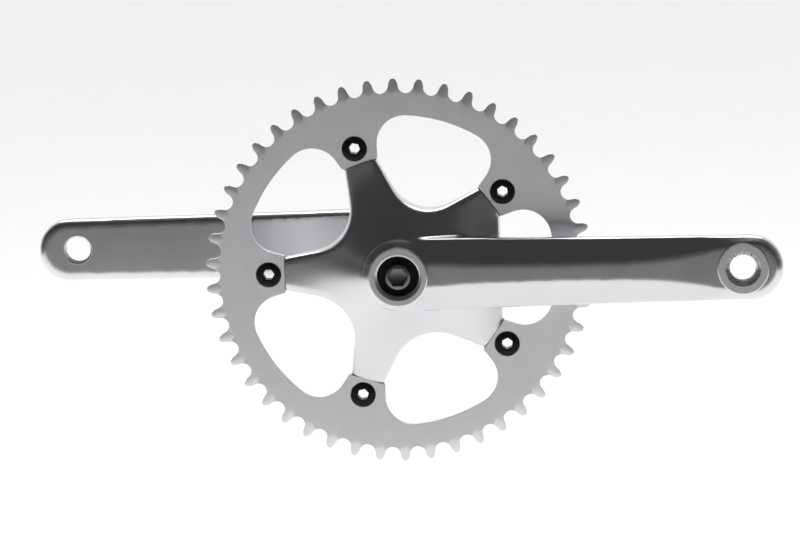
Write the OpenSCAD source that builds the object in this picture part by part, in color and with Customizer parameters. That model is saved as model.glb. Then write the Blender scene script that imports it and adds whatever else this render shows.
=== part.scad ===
// Square-taper bicycle crankset with its threaded cartridge bottom bracket, in millimetres.
// +X points forward along the right crank arm, +Y to the left of the bicycle, +Z up.
// The origin is the middle of the spindle, on its axis. The drive side is at negative Y.

/* [Crank arms] */
// Distance from the spindle axis to each pedal axis
crank_length = 170; // [165:2.5:180]
// Distance between the outer faces of the two pedal eyes, along the spindle
pedal_stance = 146; // [144:1:150]
// Radius of the rounded end of each arm
arm_end_r = 16; // [15.5:0.1:16.5]
// Radius of the flat pad that the pedal shoulder bears on
pedal_pad_r = 12.75; // [11.5:0.25:13.5]
// Major radius of the pedal thread, 9/16 inch
pedal_thread_r = 7.144; // [6.35:0.397:7.144]

/* [Spider and chainring] */
// Diameter of the circle through the chainring bolts
bolt_circle_d = 130; // [128:1:132]
// Number of teeth on the chainring
tooth_count = 46; // [44:1:52]
// Pitch of the chain
chain_pitch = 12.7; // [12.7:0.1:12.8]
// Radius of the seat that each chain roller sits in
roller_seat_r = 3.95; // [3.9:0.01:4.05]
// Thickness of the chainring
ring_thickness = 3; // [2.6:0.1:3.2]
// Distance from the middle of the bicycle to the middle of the chainring
chain_line = 43.5; // [43:0.5:44.5]
// Half width of each spider arm at its outer end
spider_end_half_w = 8.4; // [7.8:0.1:8.8]
// Outer radius of the windows in the chainring
ring_window_r = 77.9; // [77:0.1:79]

/* [Spindle] */
// Length of the spindle
spindle_length = 113; // [111:1:115]
// Radius of the spindle where the bearings sit
spindle_r = 8.5; // [8.5:0.01:8.51]
// Width across the flats at each end of the spindle
square_end_w = 12.73; // [12.6:0.01:12.8]
// Slope of each flat of the square taper
taper_angle = 2; // [1.9:0.05:2.1]

/* [Bottom bracket] */
// Width of the frame shell that the bottom bracket screws into
shell_width = 68; // [68:1:70]
// Major radius of the cup thread, 1.37 inch
cup_thread_r = 17.4; // [17.3:0.05:17.6]
// Radius of the shoulder on the right cup
cup_flange_r = 20.5; // [19.5:0.5:21]

/* [Bearings] */
// Outer radius of each bearing
bearing_r = 15; // [15:0.01:15.01]
// Width of each bearing
bearing_w = 7; // [6.8:0.1:7]
// Distance from the middle of the spindle to the middle of each bearing
bearing_y = 26.5; // [26:0.1:26.5]
// Radius of the bearing balls
ball_r = 1.984; // [1.9:0.001:1.99]
// Radius of the circle through the ball centres
ball_circle_r = 11.75; // [11.7:0.01:11.8]
// Number of balls in each bearing
ball_count = 13; // [10:1:14]

/* [Hidden] */
$fn = 96;

// Gaps between pieces
press_gap = 0.02;
slip_gap = 0.05;
seal_gap = 0.08;
cut = 1;

// Levels along the spindle, measured outwards from the middle of the bicycle
eye_face = pedal_stance / 2;
eye_back = eye_face - 12.5;
boss_face = 67.5;
washer_seat = spindle_length / 2 + 2;
right_hub_back = 40.5;
left_hub_back = 42.5;
ring_back = chain_line - ring_thickness / 2;
ring_front = chain_line + ring_thickness / 2;
spider_back = ring_back - 3.5;

// Crank arm
boss_r = 14.7;
hub_r = 18;
extractor_r = 11;
extractor_chamfer = 0.7;
pedal_countersink = 2.5;
arm_edge = 2.4;
eye_centre_x = crank_length + 4;
eye_crown = eye_face - 0.8;
// Each station: distance along the arm, half width, half width of the crown,
// then the levels of the back, of the edge and of the crown
arm_stations = [
  [0, 18, 6, 46, 60, 65.5],
  [25, 17.8, 5, 50, 61, 66],
  [60, 17.2, 4.8, 54.5, 62.8, 68],
  [100, 16.6, 4.8, 57.3, 65, 70],
  [130, 16.3, 6, eye_back - 1.6, eye_crown - 5.2, eye_crown - 0.7],
  [150, 16.1, 9, eye_back - 0.7, eye_crown - 4.3, eye_crown - 0.2],
  [eye_centre_x, arm_end_r, 12.8, eye_back, eye_crown - 3.7, eye_crown]
];

// Spider: arms every 72 degrees, two of them beside the crank arm
spider_arms = 5;
spider_step = 360 / spider_arms;
first_arm = spider_step / 2;
bolt_circle_r = bolt_circle_d / 2;
seat_step_r = 56.8;
spider_taper = 10.8;
window_centre_r = 55;
// The round hub side of each window touches the tapering sides of two spider arms
window_centre = window_centre_r * [cos(first_arm), sin(first_arm)];
window_r = (window_centre - [seat_step_r, spider_end_half_w]) * [sin(spider_taper), cos(spider_taper)];
window_arc = 90 - first_arm - spider_taper;
spider_tip_r = 8.5;
bolt_hole_r = 5.05;

// Chainring
ring_pitch_r = chain_pitch / (2 * sin(180 / tooth_count));
tooth_height = 3.15;
tooth_tip_half = 1.05;
tooth_mid_half = 2.1;
tooth_step = 360 / tooth_count;
tab_end_r = 57;
tab_end_half_w = 9.3;
tab_flare = 16.7;
window_corner_r = 14;
// Each rounded corner touches the flared side of a tab and the outer edge of the window
tab_side = [cos(tab_flare), sin(tab_flare)];
corner_start = [tab_end_r, tab_end_half_w] + window_corner_r * [-tab_side[1], tab_side[0]];
corner_reach = corner_start * tab_side;
corner_circle_r = ring_window_r - window_corner_r;
corner_run = sqrt(corner_reach ^ 2 - corner_start * corner_start + corner_circle_r ^ 2) - corner_reach;
corner_centre = beside(corner_start + corner_run * tab_side);
corner_angle = atan2(corner_centre[1], corner_centre[0]);
counterbore_depth = 1.5;

// Bolts
ring_bolt_head_r = 6;
ring_bolt_shank_r = 4.2;
ring_bolt_hex = 5;
nut_sleeve_r = 4.98;
nut_flange_r = 6;
nut_flange_t = 1.5;
crank_bolt_r = 3.95;
crank_bolt_head_r = 6.3;
crank_bolt_head_h = 6.5;
crank_bolt_hex = 8;
washer_r = 10.3;
washer_t = 2;

// Spindle and cartridge
spindle_end = spindle_length / 2;
square_start = 38;
middle_r = 9.75;
cartridge_r = 16.2;
cartridge_end = 31.5;
cup_inner_end = 18;
cup_face = shell_width / 2;
spline_count = 20;
spline_r = 0.85;
cup_lip_r = 14.9;

// Bearing lands
inner_land_r = 10.5;
outer_land_r = 13;
groove_r = 1.04 * ball_r;
bearing_inner_edge = bearing_y - bearing_w / 2;
bearing_outer_edge = bearing_y + bearing_w / 2;

// Turns a shape drawn with its outboard direction along +Z to the drive side or to the other side
module drive_side() {
  rotate([90, 0, 0]) children();
}

module other_side() {
  rotate([90, 0, 180]) children();
}

// A ring or disc between two levels
module ring(outer_r, inner_r, low, high) {
  difference() {
    translate([0, 0, low]) cylinder(r = outer_r, h = high - low);
    translate([0, 0, low - cut]) cylinder(r = inner_r, h = high - low + 2 * cut);
  }
}

// A six-sided hole, given its width across the flats
module hex_hole(width, low, high) {
  translate([0, 0, low]) cylinder(r = width / (2 * cos(30)), h = high - low, $fn = 6);
}

// Square frustum of the taper, grown by a gap on each face
function square_half(level) = square_end_w / 2 + (spindle_end - level) * tan(taper_angle);

module square_taper(gap, low, high) {
  side = [
    [-square_half(low) - gap, low],
    [square_half(low) + gap, low],
    [square_half(high) + gap, high],
    [-square_half(high) - gap, high]
  ];
  intersection() {
    rotate([90, 0, 0]) linear_extrude(height = 3 * hub_r, center = true) polygon(side);
    rotate([90, 0, 90]) linear_extrude(height = 3 * hub_r, center = true) polygon(side);
  }
}

// One cross-section of the arm: [lateral, outboard] corners, anticlockwise as seen from the pedal
function arm_section(s) = [
  [s[0], arm_edge - s[1], s[3]],
  [s[0], s[1] - arm_edge, s[3]],
  [s[0], s[1], s[3] + arm_edge],
  [s[0], s[1], s[4]],
  [s[0], s[2], s[5]],
  [s[0], -s[2], s[5]],
  [s[0], -s[1], s[4]],
  [s[0], -s[1], s[3] + arm_edge]
];

module arm_loft() {
  corners = len(arm_section(arm_stations[0]));
  last = len(arm_stations) - 1;
  points = [for (s = arm_stations) for (p = arm_section(s)) p];
  walls = [
    for (i = [0:last - 1])
      for (j = [0:corners - 1])
        let (
          a = i * corners + j,
          b = i * corners + (j + 1) % corners
        )
          each [[a, a + corners, b], [b, a + corners, b + corners]]
  ];
  near_end = [for (j = [0:corners - 1]) j];
  far_end = [for (j = [corners - 1:-1:0]) last * corners + j];
  polyhedron(points = points, faces = concat(walls, [near_end, far_end]), convexity = 4);
}

// Rounded end of the arm and the pad around the pedal hole
module pedal_eye() {
  eye = arm_stations[len(arm_stations) - 1];
  translate([eye_centre_x, 0, 0])
    rotate_extrude()
      polygon([
        [0, eye[3]],
        [eye[1] - arm_edge, eye[3]],
        [eye[1], eye[3] + arm_edge],
        [eye[1], eye[4]],
        [eye[2], eye[5]],
        [0, eye[5]]
      ]);
  translate([crank_length, 0, eye_back + cut]) cylinder(r = pedal_pad_r, h = eye_face - eye_back - cut);
}

// Round hub with the raised boss around the extractor thread
module hub(back) {
  rotate_extrude()
    polygon([
      [0, back],
      [hub_r - 1.5, back],
      [hub_r, back + 1.5],
      [hub_r, 60],
      [boss_r + 0.8, 65],
      [boss_r, boss_face - 0.6],
      [boss_r - 0.6, boss_face],
      [0, boss_face]
    ]);
}

// Everything that is machined into an arm: square hole, extractor bore and pedal hole
module arm_bores(back) {
  square_taper(press_gap, back - cut, washer_seat + cut);
  translate([0, 0, washer_seat]) cylinder(r = extractor_r, h = boss_face - washer_seat + cut);
  translate([0, 0, boss_face - extractor_chamfer])
    cylinder(r1 = extractor_r, r2 = extractor_r + 2 * extractor_chamfer, h = 2 * extractor_chamfer);
  translate([crank_length, 0, 0]) {
    translate([0, 0, eye_back - cut]) cylinder(r = pedal_thread_r, h = eye_face - eye_back + 2 * cut);
    translate([0, 0, eye_face - pedal_countersink])
      cylinder(r1 = pedal_thread_r, r2 = pedal_thread_r + 2 * pedal_countersink, h = 2 * pedal_countersink);
  }
}

// From the frame of a spider arm, as [along, across], to the frame of the window beside it
function beside(p) = [
  p[0] * cos(first_arm) + p[1] * sin(first_arm),
  p[0] * sin(first_arm) - p[1] * cos(first_arm)
];

function turned(p, a) = [p[0] * cos(a) - p[1] * sin(a), p[0] * sin(a) + p[1] * cos(a)];

// The end of one spider arm, drawn about +X: its tapering sides and its rounded tip
function spider_arm_end() = concat(
  [[seat_step_r, -spider_end_half_w]],
  [for (a = [-80:20:80]) [bolt_circle_r + spider_tip_r * cos(a), spider_tip_r * sin(a)]],
  [[seat_step_r, spider_end_half_w]]
);

// The hub side of one window, drawn about +X
function window_edge() = [
  for (t = [-1:0.125:1])
    [window_centre_r - window_r * cos(t * window_arc), window_r * sin(t * window_arc)]
];

// Plan of the spider: five arms, four windows and a web on each side of the crank arm
module spider_plan() {
  polygon([
    for (i = [0:spider_arms - 1])
      each concat(
        [for (p = spider_arm_end()) turned(p, first_arm + i * spider_step)],
        i < spider_arms - 1 ? [for (p = window_edge()) turned(p, (i + 1) * spider_step)] : []
      )
  ]);
}

// Side view of the spider: it falls away from the hub to the step that the chainring sits in
module spider_side() {
  rotate_extrude()
    polygon([
      [0, spider_back + 2],
      [hub_r + 2, spider_back + 2],
      [hub_r + 6, spider_back],
      [bolt_circle_r + spider_tip_r + cut, spider_back],
      [bolt_circle_r + spider_tip_r + cut, ring_back],
      [seat_step_r, ring_back],
      [seat_step_r, ring_front + 0.8],
      [46, ring_front + 3],
      [36, ring_front + 6],
      [28, ring_front + 9.5],
      [hub_r + 3, ring_front + 14],
      [hub_r, 63],
      [0, 63]
    ]);
}

module spider() {
  difference() {
    intersection() {
      translate([0, 0, spider_back]) linear_extrude(height = boss_face - spider_back) spider_plan();
      spider_side();
    }
    for (i = [0:spider_arms - 1])
      rotate(first_arm + i * spider_step)
        translate([bolt_circle_r, 0, spider_back - cut])
          cylinder(r = bolt_hole_r, h = 4 * ring_thickness);
  }
}

module right_crank_arm() {
  color("silver") drive_side()
    difference() {
      union() {
        hub(right_hub_back);
        arm_loft();
        pedal_eye();
        spider();
      }
      arm_bores(right_hub_back);
    }
}

module left_crank_arm() {
  color("silver") other_side()
    difference() {
      union() {
        hub(left_hub_back);
        arm_loft();
        pedal_eye();
      }
      arm_bores(left_hub_back);
    }
}

// One gap of the chainring, drawn about +X: the roller seat and both tooth flanks
function tooth_gap() = concat(
  [
    tooth_point(ring_pitch_r + tooth_height, -tooth_tip_half),
    tooth_point(ring_pitch_r + 1.2, -tooth_mid_half)
  ],
  [for (a = [-115:-32.5:-245]) [ring_pitch_r + roller_seat_r * cos(a), roller_seat_r * sin(a)]],
  [
    tooth_point(ring_pitch_r + 1.2, tooth_mid_half),
    tooth_point(ring_pitch_r + tooth_height, tooth_tip_half)
  ]
);

// A point on a tooth flank, given its radius and its distance from the middle of the tooth
function tooth_point(r, half) =
  let (side = half < 0 ? -1 : 1, a = side * tooth_step / 2 - half * 180 / (PI * r))
  [r * cos(a), r * sin(a)];

module toothed_disc() {
  polygon([for (i = [0:tooth_count - 1]) for (p = tooth_gap()) turned(p, i * tooth_step)]);
}

// Half of one window of the chainring, from its outer corner to the end of a tab
function half_window() = concat(
  [
    for (t = [0:0.125:1])
      let (a = corner_angle + t * (90 + first_arm - tab_flare - corner_angle))
        corner_centre + window_corner_r * [cos(a), sin(a)]
  ],
  [beside([tab_end_r, tab_end_half_w])]
);

// One window, drawn about +X, from one flared tab to the next
function ring_window() =
  let (half = half_window(), last = len(half) - 1)
    concat(
      [for (i = [last:-1:0]) [half[i][0], -half[i][1]]],
      [for (t = [-0.75:0.25:0.75]) ring_window_r * [cos(t * corner_angle), sin(t * corner_angle)]],
      half
    );

// The inside edge of the chainring: five windows and the straight ends of five tabs
module ring_opening() {
  polygon([for (i = [0:spider_arms - 1]) for (p = ring_window()) turned(p, i * spider_step)]);
}

module chainring() {
  color("lightgray") drive_side()
    difference() {
      translate([0, 0, ring_back])
        linear_extrude(height = ring_thickness)
          difference() {
            toothed_disc();
            ring_opening();
          }
      for (i = [0:spider_arms - 1])
        rotate(first_arm + i * spider_step)
          translate([bolt_circle_r, 0, 0]) {
            translate([0, 0, ring_back - cut]) cylinder(r = bolt_hole_r, h = ring_thickness + 2 * cut);
            translate([0, 0, ring_front - counterbore_depth])
              cylinder(r = ring_bolt_head_r + slip_gap, h = counterbore_depth + cut);
          }
    }
}

// Repeats a fastener at each chainring bolt
module at_ring_bolts() {
  for (i = [0:spider_arms - 1])
    rotate(first_arm + i * spider_step) translate([bolt_circle_r, 0, 0]) children();
}

module chainring_bolts() {
  head_low = ring_front - counterbore_depth;
  head_high = ring_front + 0.4;
  color([0.08, 0.08, 0.09]) drive_side() at_ring_bolts()
    difference() {
      union() {
        translate([0, 0, head_low]) cylinder(r = ring_bolt_head_r, h = head_high - head_low - 0.4);
        translate([0, 0, head_high - 0.4])
          cylinder(r1 = ring_bolt_head_r, r2 = ring_bolt_head_r - 0.4, h = 0.4);
        translate([0, 0, spider_back]) cylinder(r = ring_bolt_shank_r, h = head_low - spider_back);
      }
      hex_hole(ring_bolt_hex, spider_back - cut, head_high + cut);
    }
}

module chainring_nuts() {
  slot_w = 2.2;
  flange_low = spider_back - nut_flange_t;
  color([0.08, 0.08, 0.09]) drive_side() at_ring_bolts()
    difference() {
      union() {
        ring(nut_sleeve_r, ring_bolt_shank_r + slip_gap, spider_back - 0.5, ring_front - counterbore_depth - 0.2);
        ring(nut_flange_r, ring_bolt_shank_r + slip_gap, flange_low, spider_back);
      }
      translate([-nut_flange_r - cut, -slot_w / 2, flange_low - cut])
        cube([2 * (nut_flange_r + cut), slot_w, cut + 0.8]);
    }
}

module crank_bolt() {
  seat = washer_seat + washer_t;
  head_top = seat + crank_bolt_head_h;
  difference() {
    union() {
      translate([0, 0, spindle_end - 20]) cylinder(r = crank_bolt_r, h = seat - spindle_end + 20);
      translate([0, 0, seat]) cylinder(r = crank_bolt_head_r, h = crank_bolt_head_h - 0.6);
      translate([0, 0, head_top - 0.6])
        cylinder(r1 = crank_bolt_head_r, r2 = crank_bolt_head_r - 0.6, h = 0.6);
    }
    hex_hole(crank_bolt_hex, head_top - 5, head_top + cut);
  }
}

module right_crank_bolt() {
  color([0.15, 0.15, 0.16]) drive_side() crank_bolt();
}

module left_crank_bolt() {
  color([0.15, 0.15, 0.16]) other_side() crank_bolt();
}

module crank_washer() {
  ring(washer_r, crank_bolt_r + 0.3, washer_seat, washer_seat + washer_t);
}

module right_crank_washer() {
  color([0.06, 0.06, 0.06]) drive_side() crank_washer();
}

module left_crank_washer() {
  color([0.06, 0.06, 0.06]) other_side() crank_washer();
}

// Half of the spindle, from its middle to one end
module half_spindle() {
  difference() {
    union() {
      cylinder(r = middle_r, h = bearing_inner_edge - slip_gap);
      cylinder(r = spindle_r, h = square_start);
      intersection() {
        translate([0, 0, square_start - cut]) cylinder(r = spindle_r, h = spindle_end - square_start + cut);
        square_taper(0, square_start - cut, spindle_end);
      }
    }
    translate([0, 0, spindle_end - 24]) cylinder(r = crank_bolt_r + slip_gap, h = 24 + cut);
  }
}

module spindle() {
  color([0.6, 0.6, 0.62]) {
    drive_side() half_spindle();
    other_side() half_spindle();
  }
}

// Half of the tube that holds the bearings
module half_cartridge() {
  rotate_extrude()
    polygon([
      [bearing_r - 0.9, 0],
      [cartridge_r, 0],
      [cartridge_r, cartridge_end],
      [bearing_r + press_gap, cartridge_end],
      [bearing_r + press_gap, bearing_inner_edge - slip_gap],
      [bearing_r - 0.9, bearing_inner_edge - slip_gap]
    ]);
}

module cartridge_shell() {
  color([0.35, 0.36, 0.38]) {
    drive_side() half_cartridge();
    other_side() half_cartridge();
  }
}

// Threaded cup, with the splines that the fitting tool turns
module cup(flange_r, flange_t) {
  face = cup_face + flange_t;
  difference() {
    union() {
      translate([0, 0, cup_inner_end]) cylinder(r = cup_thread_r, h = cup_face - cup_inner_end);
      translate([0, 0, cup_face - cut]) cylinder(r = cup_lip_r + 2, h = flange_t + cut);
      translate([0, 0, cup_face]) cylinder(r = flange_r, h = flange_t);
    }
    translate([0, 0, cup_inner_end - cut])
      cylinder(r = cartridge_r + slip_gap, h = cartridge_end + slip_gap - cup_inner_end + cut);
    translate([0, 0, cup_inner_end]) cylinder(r = cup_lip_r, h = face - cup_inner_end + cut);
    for (i = [0:spline_count - 1])
      rotate(i * 360 / spline_count)
        translate([cup_lip_r, 0, cartridge_end]) cylinder(r = spline_r, h = face - cartridge_end + cut, $fn = 24);
  }
}

module right_cup() {
  color([0.5, 0.51, 0.53]) drive_side() cup(cup_flange_r, 2.5);
}

module left_cup() {
  color([0.5, 0.51, 0.53]) other_side() cup(cup_thread_r, 0.4);
}

module spindle_seal() {
  ring(bearing_r - slip_gap, spindle_r + seal_gap, bearing_outer_edge + 0.2, cartridge_end);
}

module right_spindle_seal() {
  color([0.1, 0.1, 0.1]) drive_side() spindle_seal();
}

module left_spindle_seal() {
  color([0.1, 0.1, 0.1]) other_side() spindle_seal();
}

// Torus that cuts the track of the balls in a race
module ball_track(track_r) {
  translate([0, 0, bearing_y]) rotate_extrude() translate([track_r, 0]) circle(r = groove_r, $fn = 48);
}

module outer_race() {
  difference() {
    ring(bearing_r, outer_land_r, bearing_inner_edge, bearing_outer_edge);
    ball_track(ball_circle_r + ball_r + slip_gap - groove_r);
  }
}

module inner_race() {
  difference() {
    ring(inner_land_r, spindle_r + press_gap, bearing_inner_edge, bearing_outer_edge);
    ball_track(ball_circle_r - ball_r - slip_gap + groove_r);
  }
}

module right_outer_race() {
  color([0.72, 0.73, 0.75]) drive_side() outer_race();
}

module left_outer_race() {
  color([0.72, 0.73, 0.75]) other_side() outer_race();
}

module right_inner_race() {
  color([0.72, 0.73, 0.75]) drive_side() inner_race();
}

module left_inner_race() {
  color([0.72, 0.73, 0.75]) other_side() inner_race();
}

// Places a ball, or the pocket for one, at each ball position
module at_balls() {
  for (i = [0:ball_count - 1])
    rotate(i * 360 / ball_count) translate([ball_circle_r, 0, bearing_y]) children();
}

module bearing_balls() {
  at_balls() sphere(r = ball_r, $fn = 32);
}

module right_bearing_balls() {
  color([0.8, 0.81, 0.83]) drive_side() bearing_balls();
}

module left_bearing_balls() {
  color([0.8, 0.81, 0.83]) other_side() bearing_balls();
}

// Machined cage: a ring with a round pocket drilled for each ball
module ball_cage() {
  half_w = 2.4;
  half_t = 0.8;
  difference() {
    rotate(90 / ball_count)
      ring(ball_circle_r + half_t, ball_circle_r - half_t, bearing_y - half_w, bearing_y + half_w);
    at_balls()
      rotate([0, 90, 0]) cylinder(r = ball_r + slip_gap, h = 4 * half_t, center = true, $fn = 32);
  }
}

module right_ball_cage() {
  color([0.55, 0.4, 0.2]) drive_side() ball_cage();
}

module left_ball_cage() {
  color([0.55, 0.4, 0.2]) other_side() ball_cage();
}

// Thin rubber seal in one face of a bearing, at the given level
module bearing_seal(low) {
  ring(outer_land_r - press_gap, inner_land_r + seal_gap, low, low + 0.7);
}

module right_bearing_outer_seal() {
  color([0.12, 0.12, 0.13]) drive_side() bearing_seal(bearing_outer_edge - 0.9);
}

module left_bearing_outer_seal() {
  color([0.12, 0.12, 0.13]) other_side() bearing_seal(bearing_outer_edge - 0.9);
}

module right_bearing_inner_seal() {
  color([0.12, 0.12, 0.13]) drive_side() bearing_seal(bearing_inner_edge + 0.2);
}

module left_bearing_inner_seal() {
  color([0.12, 0.12, 0.13]) other_side() bearing_seal(bearing_inner_edge + 0.2);
}

right_crank_arm();
left_crank_arm();
chainring();
chainring_bolts();
chainring_nuts();
right_crank_bolt();
left_crank_bolt();
right_crank_washer();
left_crank_washer();
spindle();
cartridge_shell();
right_cup();
left_cup();
right_spindle_seal();
left_spindle_seal();
right_outer_race();
left_outer_race();
right_inner_race();
left_inner_race();
right_bearing_balls();
left_bearing_balls();
right_ball_cage();
left_ball_cage();
right_bearing_outer_seal();
left_bearing_outer_seal();
right_bearing_inner_seal();
left_bearing_inner_seal();
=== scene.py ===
import cmath
import math

import bmesh
import bpy
import numpy as np
from mathutils import Matrix, Vector


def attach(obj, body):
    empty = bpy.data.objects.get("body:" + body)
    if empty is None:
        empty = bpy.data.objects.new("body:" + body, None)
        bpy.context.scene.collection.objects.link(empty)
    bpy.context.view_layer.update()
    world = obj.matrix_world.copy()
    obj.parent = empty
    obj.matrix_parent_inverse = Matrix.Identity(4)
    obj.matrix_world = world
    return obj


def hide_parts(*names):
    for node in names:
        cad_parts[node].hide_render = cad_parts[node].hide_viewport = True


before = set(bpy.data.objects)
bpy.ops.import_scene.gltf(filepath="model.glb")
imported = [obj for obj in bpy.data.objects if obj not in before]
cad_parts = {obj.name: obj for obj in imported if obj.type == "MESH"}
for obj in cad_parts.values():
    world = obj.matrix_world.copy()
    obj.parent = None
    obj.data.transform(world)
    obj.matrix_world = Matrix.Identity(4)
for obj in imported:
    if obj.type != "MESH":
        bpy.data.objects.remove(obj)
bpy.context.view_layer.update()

# ---------------------------------------------------------------------------------------------
# Spindle: chromium-molybdenum steel axle, turned and ground, with a square taper milled on each
# end and a tapped hole for the crank bolt. The two cartridge bearings are pressed onto it.
# Meshes are worked in millimetres, with y = -level on the drive side, and end in metres.
# ---------------------------------------------------------------------------------------------
SPINDLE_END = 56.5
SPINDLE_R = 8.5
COLLAR_R = 9.75
COLLAR_END = 22.95
TAP_R = 4.0
TAP_DEPTH = 24.0
SQUARE_START = 38.0
SQUARE_HALF = 12.73 / 2
TAPER = math.tan(math.radians(2))


def shape(bm, name):
    """Makes an object from a bmesh."""
    mesh = bpy.data.meshes.new(name)
    bm.to_mesh(mesh)
    bm.free()
    made = bpy.data.objects.new(name, mesh)
    bpy.context.scene.collection.objects.link(made)
    return made


def lathe(name, profile, steps=96, centre=(0.0, 0.0), start=0.0):
    """Turns (radius, level) corners about the spindle's direction, through centre (x, z)."""
    bm = bmesh.new()
    corners = [bm.verts.new((radius, -level, 0.0)) for radius, level in profile]
    edges = [bm.edges.new(pair) for pair in zip(corners, corners[1:])]
    if profile[0][0] > 0 or profile[-1][0] > 0:
        edges.append(bm.edges.new((corners[-1], corners[0])))
    bmesh.ops.spin(
        bm, geom=corners + edges, cent=(0, 0, 0), axis=(0, 1, 0),
        angle=2 * math.pi, steps=steps, use_merge=True,
    )
    bmesh.ops.remove_doubles(bm, verts=bm.verts, dist=1e-4)
    bmesh.ops.dissolve_degenerate(bm, edges=bm.edges, dist=1e-5)
    bmesh.ops.recalc_face_normals(bm, faces=bm.faces)
    bmesh.ops.rotate(bm, verts=bm.verts, cent=(0, 0, 0), matrix=Matrix.Rotation(math.radians(start), 3, "Y"))
    bmesh.ops.translate(bm, verts=bm.verts, vec=(centre[0], 0, centre[1]))
    return shape(bm, name)


def apply(piece, modifier):
    """Applies one modifier, so that only its result is left on the piece."""
    with bpy.context.temp_override(object=piece, active_object=piece, selected_objects=[piece]):
        bpy.ops.object.modifier_apply(modifier=modifier.name)


def carve(piece, tool, operation="DIFFERENCE"):
    """Cuts, joins or trims a piece with another closed shape, which is used up."""
    step = piece.modifiers.new("carve", "BOOLEAN")
    step.operation = operation
    step.solver = "MANIFOLD"
    step.object = tool
    apply(piece, step)
    bpy.data.objects.remove(tool)
    return piece


def merge(name, parts):
    """Puts several closed shapes into one mesh, without joining their surfaces."""
    bm = bmesh.new()
    for part in parts:
        bm.from_mesh(part.data)
        bpy.data.objects.remove(part)
    return shape(bm, name)


def other_side(piece):
    """Turns a drive-side shape half a turn about the vertical, to the left of the bicycle."""
    piece.data.transform(Matrix.Rotation(math.pi, 4, "Z"))
    return piece


def finish(piece, materials, sharp=32):
    """Millimetres to metres, smooth faces, and an edge wherever the surface turns sharply."""
    piece.data.transform(Matrix.Scale(0.001, 4))
    piece.data.materials.clear()
    for material in materials:
        piece.data.materials.append(material)
    piece.data.shade_smooth()
    piece.data.set_sharp_from_angle(angle=math.radians(sharp))
    return piece


def linear(code):
    """An sRGB hex colour as linear red, green, blue and alpha."""
    parts = [int(code[i : i + 2], 16) / 255 for i in (1, 3, 5)]
    return tuple(c / 12.92 if c <= 0.04045 else ((c + 0.055) / 1.055) ** 2.4 for c in parts) + (1.0,)


def node(tree, kind, inputs=None, **settings):
    """Adds a node: settings are its properties, inputs its sockets, each a value or a link."""
    made = tree.nodes.new(kind)
    for name, value in settings.items():
        setattr(made, name, value)
    for name, value in (inputs or {}).items():
        if isinstance(value, bpy.types.NodeSocket):
            tree.links.new(value, made.inputs[name])
        else:
            made.inputs[name].default_value = value
    return made


def new_material(name, colour, metallic, roughness):
    """A material with its shader, and the object's own coordinates for its patterns."""
    material = bpy.data.materials.new(name)
    material.use_nodes = True
    tree = material.node_tree
    tree.nodes.clear()
    shader = node(
        tree,
        "ShaderNodeBsdfPrincipled",
        {"Base Color": linear(colour), "Metallic": metallic, "Roughness": roughness},
    )
    node(tree, "ShaderNodeOutputMaterial", {"Surface": shader.outputs[0]})
    place = node(tree, "ShaderNodeTexCoord").outputs["Object"]
    return material, tree, shader, place


def blend_colours(tree, factor, low, high, shader):
    """Base colour between two hex colours, by a pattern."""
    ramp = node(tree, "ShaderNodeValToRGB", {"Fac": factor})
    ramp.color_ramp.elements[0].color = linear(low)
    ramp.color_ramp.elements[1].color = linear(high)
    tree.links.new(ramp.outputs["Color"], shader.inputs["Base Color"])


def blend_roughness(tree, factor, low, high, shader):
    """Roughness between two values, by a pattern."""
    span = node(tree, "ShaderNodeMapRange", {"Value": factor, "To Min": low, "To Max": high})
    tree.links.new(span.outputs["Result"], shader.inputs["Roughness"])


def bump(tree, height, strength, depth, shader):
    """Raises the surface by a pattern, to a depth in metres."""
    made = node(tree, "ShaderNodeBump", {"Height": height, "Strength": strength, "Distance": depth})
    tree.links.new(made.outputs["Normal"], shader.inputs["Normal"])


# Ground steel: fine grinding lines run round the axle, drawn 1 mm apart so that they show
ground_steel, tree, shader, place = new_material("ground_spindle_steel", "#8F9195", 1.0, 0.22)
lines = node(
    tree, "ShaderNodeTexWave", {"Vector": place, "Scale": 320.0, "Distortion": 0.6}, bands_direction="Y"
)
cloud = node(tree, "ShaderNodeTexNoise", {"Vector": place, "Scale": 140.0, "Detail": 4.0})
blend_colours(tree, cloud.outputs["Fac"], "#7F8185", "#9DA0A4", shader)
blend_roughness(tree, cloud.outputs["Fac"], 0.18, 0.265, shader)
bump(tree, lines.outputs["Fac"], 0.25, 0.00002, shader)

half = [
    (0, 0), (COLLAR_R, 0), (COLLAR_R, COLLAR_END - 0.75), (COLLAR_R - 0.45, COLLAR_END),
    (SPINDLE_R, COLLAR_END), (SPINDLE_R, SPINDLE_END - 0.7), (SPINDLE_R - 0.7, SPINDLE_END),
    (TAP_R + 0.6, SPINDLE_END), (TAP_R, SPINDLE_END - 0.6), (TAP_R, SPINDLE_END - TAP_DEPTH),
    (0, SPINDLE_END - TAP_DEPTH - 2),
]
# Corners of the square bar, as radii, that trims each end to its taper
square = [
    (0, -1), (14, -1), (14, SQUARE_START - 2),
    ((SQUARE_HALF + (SPINDLE_END - SQUARE_START) * TAPER) * math.sqrt(2), SQUARE_START),
    ((SQUARE_HALF - TAPER) * math.sqrt(2), SPINDLE_END + 1), (0, SPINDLE_END + 1),
]
halves = []
for on_left in (False, True):
    end = lathe("spindle_half", half)
    carve(end, lathe("square", square, steps=4, start=45), "INTERSECT")
    halves.append(other_side(end) if on_left else end)
spindle = merge("ground_spindle", halves)
finish(spindle, [ground_steel])
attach(spindle, "crank")
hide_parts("spindle")

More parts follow.
